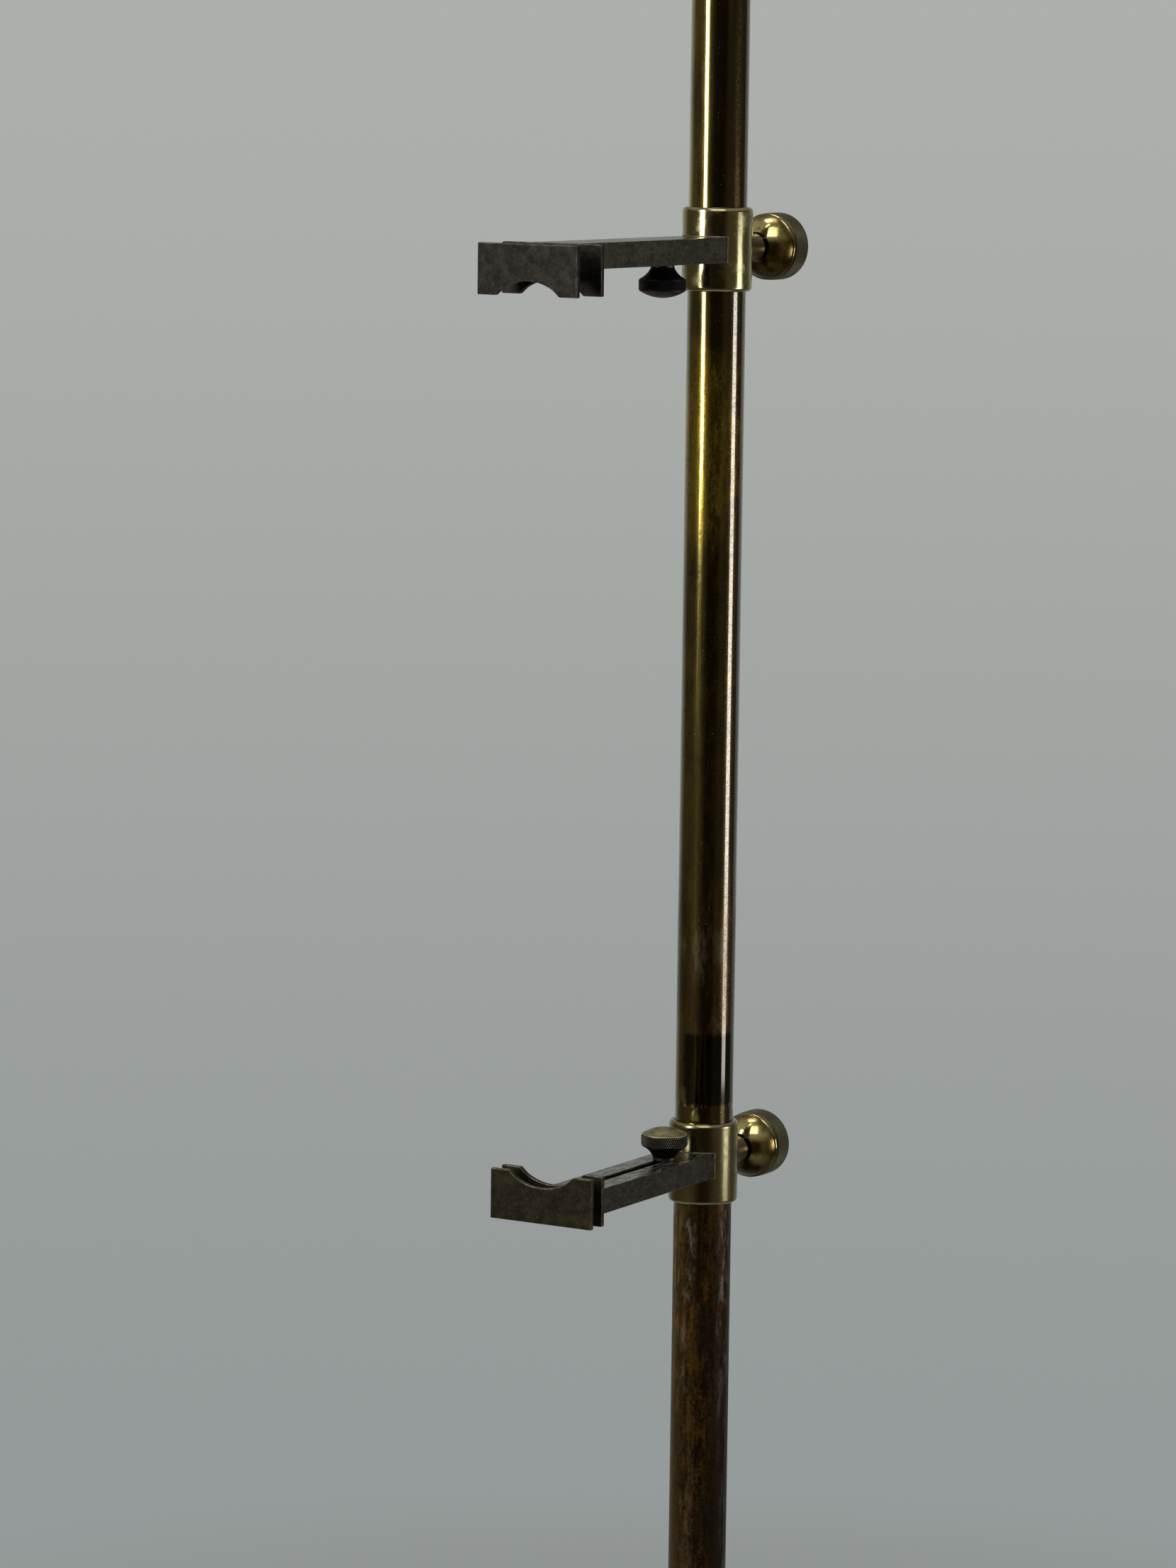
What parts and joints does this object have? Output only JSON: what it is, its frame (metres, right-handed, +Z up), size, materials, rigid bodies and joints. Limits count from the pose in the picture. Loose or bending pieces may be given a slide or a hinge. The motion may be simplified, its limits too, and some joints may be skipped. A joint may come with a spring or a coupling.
{
  "type": "retort stand",
  "caption": "Laboratory stand: a brass tube column on a round iron foot, with sliding clamps whose notched, adjustable jaw plates cradle a horizontal tube.",
  "frame": {"origin": "centre of the foot's underside, on the column's axis", "axes": "+Z up the column; the lower clamp's arm points along -Y and its clamp knob along +Y"},
  "size_m": [0.19, 0.2064, 0.76],
  "materials": {
    "column_brass": "dark brown patina, glossy",
    "polished_brass": "polished, lightly tarnished",
    "knob_brass": "polished dome, knurled rim",
    "dark_bronze": "dark bronzed, mottled",
    "black_bronze": "black bronzed, knurled",
    "steel": "turned, oiled",
    "japanned_iron": "black japan over cast iron",
    "green_cloth": "felted cloth"
  },
  "bodies": {
    "stand": {"foot_casting": "japanned_iron", "foot_cloth": "green_cloth", "foot_ferrule": "polished_brass", "column_tube": "column_brass", "foot_plug": "polished_brass", "foot_washer": "steel", "foot_nut": "steel", "top_cap": "polished_brass"},
    "lower_carrier": {"lower_liner": "polished_brass"},
    "lower_clamp": {"lower_collar": "polished_brass", "lower_boss": "polished_brass", "lower_arm": "dark_bronze", "lower_rear_jaw": "dark_bronze"},
    "lower_pad": {"lower_thrust_pad": "polished_brass"},
    "lower_knob": {"lower_clamp_screw": "steel", "lower_clamp_knob": "knob_brass"},
    "lower_slider": {"lower_slide_bar": "dark_bronze", "lower_front_jaw": "dark_bronze"},
    "lower_lock_seat": {"lower_lock_washer": "dark_bronze"},
    "lower_lock": {"lower_lock_screw": "steel", "lower_lock_knob": "black_bronze"},
    "upper_carrier": {"upper_liner": "polished_brass"},
    "upper_clamp": {"upper_collar": "polished_brass", "upper_boss": "polished_brass", "upper_arm": "dark_bronze", "upper_rear_jaw": "dark_bronze"},
    "upper_pad": {"upper_thrust_pad": "polished_brass"},
    "upper_knob": {"upper_clamp_screw": "steel", "upper_clamp_knob": "knob_brass"},
    "upper_slider": {"upper_slide_bar": "dark_bronze", "upper_front_jaw": "dark_bronze"},
    "upper_lock_seat": {"upper_lock_washer": "dark_bronze"},
    "upper_lock": {"upper_lock_screw": "steel", "upper_lock_knob": "black_bronze"}
  },
  "joints": [
    {"name": "lower_height", "type": "slide", "parent": "stand", "child": "lower_carrier", "axis": [0, 0, 1], "range_m": [-0.154, 0.267]},
    {"name": "lower_swivel", "type": "hinge", "parent": "lower_carrier", "child": "lower_clamp", "pos_m": [0, 0, 0.23], "axis": [0, 0, 1], "continuous": true},
    {"name": "lower_clamp_feed", "type": "slide", "parent": "lower_clamp", "child": "lower_pad", "axis": [0, 1, 0], "range_m": [0, 0.002]},
    {"name": "lower_clamp_turn", "type": "hinge", "parent": "lower_pad", "child": "lower_knob", "pos_m": [0, 0.034, 0.23], "axis": [0, 1, 0], "range_deg": [0, 725]},
    {"name": "lower_jaw_slide", "type": "slide", "parent": "lower_clamp", "child": "lower_slider", "axis": [0, -1, 0], "range_m": [-0.0046, 0.0502]},
    {"name": "lower_lock_feed", "type": "slide", "parent": "lower_slider", "child": "lower_lock_seat", "axis": [0, 0, 1], "range_m": [0, 0.0007]},
    {"name": "lower_lock_turn", "type": "hinge", "parent": "lower_lock_seat", "child": "lower_lock", "pos_m": [0, -0.0258, 0.24], "axis": [0, 0, 1], "range_deg": [0, 365]},
    {"name": "upper_height", "type": "slide", "parent": "stand", "child": "upper_carrier", "axis": [0, 0, 1], "range_m": [-0.267, 0.2035]},
    {"name": "upper_swivel", "type": "hinge", "parent": "upper_carrier", "child": "upper_clamp", "pos_m": [0, 0, 0.528], "axis": [0, 0, 1], "continuous": true},
    {"name": "upper_clamp_feed", "type": "slide", "parent": "upper_clamp", "child": "upper_pad", "axis": [0.0419, 0.9991, 0], "range_m": [0, 0.002]},
    {"name": "upper_clamp_turn", "type": "hinge", "parent": "upper_pad", "child": "upper_knob", "pos_m": [0.00142, 0.03397, 0.528], "axis": [0.0419, 0.9991, 0], "range_deg": [0, 725]},
    {"name": "upper_jaw_slide", "type": "slide", "parent": "upper_clamp", "child": "upper_slider", "axis": [-0.0419, -0.9991, 0], "range_m": [-0.0116, 0.0432]},
    {"name": "upper_lock_feed", "type": "slide", "parent": "upper_slider", "child": "upper_lock_seat", "axis": [0, 0, -1], "range_m": [0, 0.0007]},
    {"name": "upper_lock_turn", "type": "hinge", "parent": "upper_lock_seat", "child": "upper_lock", "pos_m": [-0.00137, -0.03277, 0.518], "axis": [0, 0, -1], "range_deg": [0, 365]}
  ],
  "couplings": [
    {"joint": "lower_clamp_turn", "follows": "lower_clamp_feed", "rad_per_m": 6283.2},
    {"joint": "lower_lock_turn", "follows": "lower_lock_feed", "rad_per_m": 8976},
    {"joint": "upper_clamp_turn", "follows": "upper_clamp_feed", "rad_per_m": 6283.2},
    {"joint": "upper_lock_turn", "follows": "upper_lock_feed", "rad_per_m": 8976}
  ]
}
